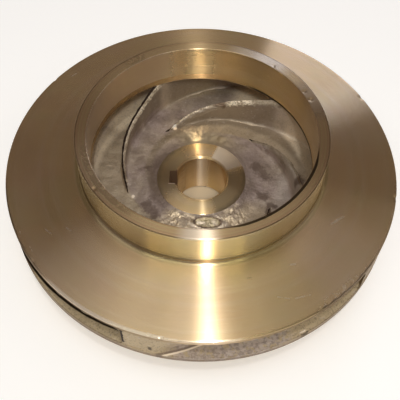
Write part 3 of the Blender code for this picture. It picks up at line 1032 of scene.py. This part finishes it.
def vane_azimuths():
    """Azimuth of the first vane's middle, at radii a step apart from the rim inwards."""
    radius, azimuth = RIM_RADIUS, VANE_TIP_AZIMUTH
    line = [azimuth]
    while radius > VANE_INNER_RADIUS - 2 * MM:
        middle = radius - VANE_STEP / 2
        azimuth += VANE_STEP / (middle * math.tan(vane_angle(middle)))
        radius -= VANE_STEP
        line.append(azimuth)
    return line


VANE_LINE = vane_azimuths()


def vane_azimuth(radius):
    place = (RIM_RADIUS - radius) / VANE_STEP
    i = min(len(VANE_LINE) - 2, max(0, int(place)))
    return VANE_LINE[i] + (VANE_LINE[i + 1] - VANE_LINE[i]) * (place - i)


print("a vane winds through %.0f degrees" % math.degrees(VANE_LINE[-1] - VANE_LINE[0]))

# %% The shape of a vane's section
NOSE_RADIUS = VANE_INNER_RADIUS - 0.6 * MM
NOSE_LENGTH = 0.8 * MM
FLOOR_FILLET = 3.0 * MM
ROOF_FILLET = 2.5 * MM
EDGE_ROUNDING = 1.5 * MM
EDGE_WIDTH = 0.62


def edge_height(radius):
    """Height of the vane's free edge in the eye, from the hub up to the shroud's lip."""
    for (r0, z0), (r1, z1) in zip(LEADING_EDGE, LEADING_EDGE[1:]):
        if radius < r1:
            return z0 + (z1 - z0) * (radius - r0) / (r1 - r0)
    return LEADING_EDGE[-1][1]


def flare(distance, fillet):
    """How far a fillet stands out at a distance from the face that it runs into."""
    if distance >= fillet:
        return 0.0
    return fillet * (1 - math.sqrt(1 - (1 - max(0.0, distance) / fillet) ** 2))


def half_width(radius, up, top, free):
    """Half the vane's thickness at a height above the floor."""
    half = vane_thickness(radius) / 2
    nose = min(1.0, max(0.0, (radius - NOSE_RADIUS) / NOSE_LENGTH))
    half *= math.sqrt(1 - (1 - nose) ** 2)
    half += flare(up, FLOOR_FILLET) * nose
    left = top - up
    if not free:
        return half + flare(left, ROOF_FILLET)
    fullness = EDGE_WIDTH + (1 - EDGE_WIDTH) * min(1.0, left / EDGE_ROUNDING)
    return (half + 0.10 * MM * nose) * fullness


# %% The vanes
VANE_ROWS = 18
VANE_RINGS = 240
VANE_SINK = 0.6 * MM
RING_CROWDING = 1.35
WORN_VANES = (1, 2)
SHADOWED_EDGE_VANE = 2
THIN_EDGE_RADIUS = 60 * MM
WORN_DEPTH = 1.5 * MM


def make_vane(number):
    own_turn = 2 * math.pi * number / VANE_COUNT
    shape = bmesh.new()
    bmesh.ops.create_cone(shape, cap_ends=True, segments=2 * VANE_ROWS,
                          radius1=1.0, radius2=1.0, depth=1.0)
    length_edges = [e for e in shape.edges if abs(e.verts[0].co.z - e.verts[1].co.z) > 0.5]
    bmesh.ops.subdivide_edges(shape, edges=length_edges, cuts=VANE_RINGS - 1)
    for corner in shape.verts:
        along = corner.co.z + 0.5
        turn = math.atan2(corner.co.x, corner.co.y)
        side = 1.0 if turn > 0 else -1.0
        row = abs(turn) / math.pi
        radius = NOSE_RADIUS + (RIM_RADIUS - NOSE_RADIUS) * along ** RING_CROWDING
        free = radius < NECK_INNER + 0.6 * MM
        floor = floor_height(radius) - VANE_SINK
        top = (edge_height(radius) if free else roof_height(radius) + VANE_SINK) - floor
        up = top * (0.5 - 0.5 * math.cos(math.pi * (1 - row)))
        half = half_width(radius, up, top, free)
        if row < 0.001 or row > 0.999:
            half = 0.0
        azimuth = vane_azimuth(radius) + side * half / (radius * math.sin(vane_angle(radius)))
        azimuth += own_turn
        corner.co = (radius * math.cos(azimuth), radius * math.sin(azimuth), floor + up)

    def inside_rim(radius, turn, height):
        return 1.0 if radius < RIM_RADIUS - 0.5 * MM else 0.0

    def near_edge(radius, turn, height):
        return 1.0 if radius < NECK_INNER and height > edge_height(radius) - WORN_DEPTH else 0.0

    def finish_number(radius, turn, height):
        """Painted shadow lies along one side of the free edge, and the worn metal beside it."""
        if radius > NECK_INNER + 2 * MM or height < edge_height(radius) - WORN_DEPTH:
            return 0
        away = (turn - vane_azimuth(radius) - own_turn + math.pi) % (2 * math.pi) - math.pi
        share = away * radius * math.sin(vane_angle(radius)) / (vane_thickness(radius) / 2)
        if share > (0.2 if number == SHADOWED_EDGE_VANE else 0.6):
            return 2
        worn = number == SHADOWED_EDGE_VANE or number in WORN_VANES and radius > THIN_EDGE_RADIUS
        return 1 if share > (-0.9 if worn else 0.0) else 0

    roughen(shape, inside_rim, 0.30 * MM, 6 * MM)
    roughen(shape, near_edge, 0.40 * MM, 2 * MM, seed=number)
    paint(shape, finish_number)
    smooth_object(shape, "vane_%d" % (number + 1),
                  [passage_bronze, worn_edge, painted_shadow], sharp=50)


for vane in range(VANE_COUNT):
    make_vane(vane)

# %% [markdown]
# ## Camera, floor and light
#
# The camera looks down at the face from in front, about 55 degrees above it.

# %% Camera
CAMERA_PLACE = Vector((0.0, -0.27576, 0.41181))
CAMERA_FORWARD = Vector((-0.00104, 0.56408, -0.82572))
CAMERA_UP = Vector((-0.02642, 0.82541, 0.56391))
camera_data = bpy.data.cameras.new("camera")
camera_data.sensor_width = 36.0
camera_data.lens = 60.09
camera_data.clip_start = 0.01
camera = add_object("camera", camera_data)
side = CAMERA_FORWARD.cross(CAMERA_UP).normalized()
up = side.cross(CAMERA_FORWARD).normalized()
camera_turn = Matrix((side, up, -CAMERA_FORWARD)).transposed()
camera.matrix_world = Matrix.Translation(CAMERA_PLACE) @ camera_turn.to_4x4()
bpy.context.scene.camera = camera
print("camera with a lens of %.0f mm" % camera_data.lens)

# %% [markdown]
# The floor is plain white paper, lit a little from below so that it stays pale. Right under the
# part, where only the bore lets it be seen, it carries a painted shadow in the bronze's colour.

# %% Floor
PAPER = (0.86, 0.85, 0.83)
# Painted shadow under the part, in the bronze's colour.
PAPER_PAINTED_SHADOW = (0.58, 0.48, 0.34)
PAPER_GLOW = (1.0, 0.98, 0.95)
floor_shape = bmesh.new()
bmesh.ops.create_grid(floor_shape, x_segments=1, y_segments=1, size=3.0)
floor_mesh = bpy.data.meshes.new("studio_floor")
floor_shape.to_mesh(floor_mesh)
floor_shape.free()
floor = add_object("studio_floor", floor_mesh)
paper = Finish("pale paper", Roughness=0.9, Emission_Strength=0.32)
clear = paper.radius.above(110 * MM, 60 * MM)
paper.set(Base_Color=paper.mix(clear, PAPER_PAINTED_SHADOW, PAPER),
          Emission_Color=paper.mix(clear, (0.0, 0.0, 0.0), PAPER_GLOW))
floor_mesh.materials.append(paper.material)
floor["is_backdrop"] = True
print("floor:", paper.material.name)

# %% [markdown]
# Two small bright lamps high in front draw the streak on the face and on the neck. Broad dim
# lamps fill in the rest, and a window low behind the part makes the second, cooler gleam on the
# far right.

# %% Lamps
CENTRE = Vector((0, 0, 0.05))
WHITE = (1, 1, 1)
LAMPS = [  # name, azimuth, elevation, distance, (width, height), brightness, colour
    ("left softbox", 189, 70, 2.2, (1.1, 2.2), 0.50, WHITE),
    ("front softbox", 266, 57, 2.2, (2.2, 0.40), 2.9, (1.0, 1.0, 0.85)),
    ("right softbox", 345, 46, 2.2, (3.2, 0.50), 0.60, WHITE),
    ("overhead lamp", 280.6, 74.7, 1.6, (0.07, 0.11), 135.0, WHITE),
    ("front lamp", 277, 56, 1.6, (0.06, 0.20), 180.0, WHITE),
    ("back window", 69, 24.3, 2.0, (0.65, 0.81), 1.75, (0.85, 0.95, 1.25)),
    ("ceiling", 80, 79, 1.6, (0.95, 1.29), 0.46, WHITE),
]

# Each lamp faces the impeller. Its power follows from its area.
for name, turn, tilt, distance, size, brightness, colour in LAMPS:
    turn, tilt = turn * DEGREE, tilt * DEGREE
    way = Vector((math.cos(tilt) * math.cos(turn), math.cos(tilt) * math.sin(turn), math.sin(tilt)))
    lamp = bpy.data.lights.new(name, "AREA")
    lamp.shape = "RECTANGLE"
    lamp.size, lamp.size_y = size
    lamp.energy = brightness * math.pi * size[0] * size[1]
    lamp.color = colour
    light = add_object(name, lamp)
    light.location = CENTRE + way * distance
    light.rotation_euler = (-way).to_track_quat("-Z", "Y").to_euler()

world = bpy.data.worlds.new("room")
world.use_nodes = True
room = world.node_tree.nodes["Background"].inputs
room["Color"].default_value = (1.0, 0.84, 0.78, 1)
room["Strength"].default_value = 0.16
bpy.context.scene.world = world
bpy.context.scene.view_settings.view_transform = "Standard"
print("lamps:", len(LAMPS))

# %% How far the box grew, and the frame closed
dressed_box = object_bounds()
growth = [(dressed[i] - cad[i]) / MM for cad, dressed in zip(cad_box, dressed_box) for i in range(3)]
print("box grown by (mm):", [round(g, 3) for g in growth])
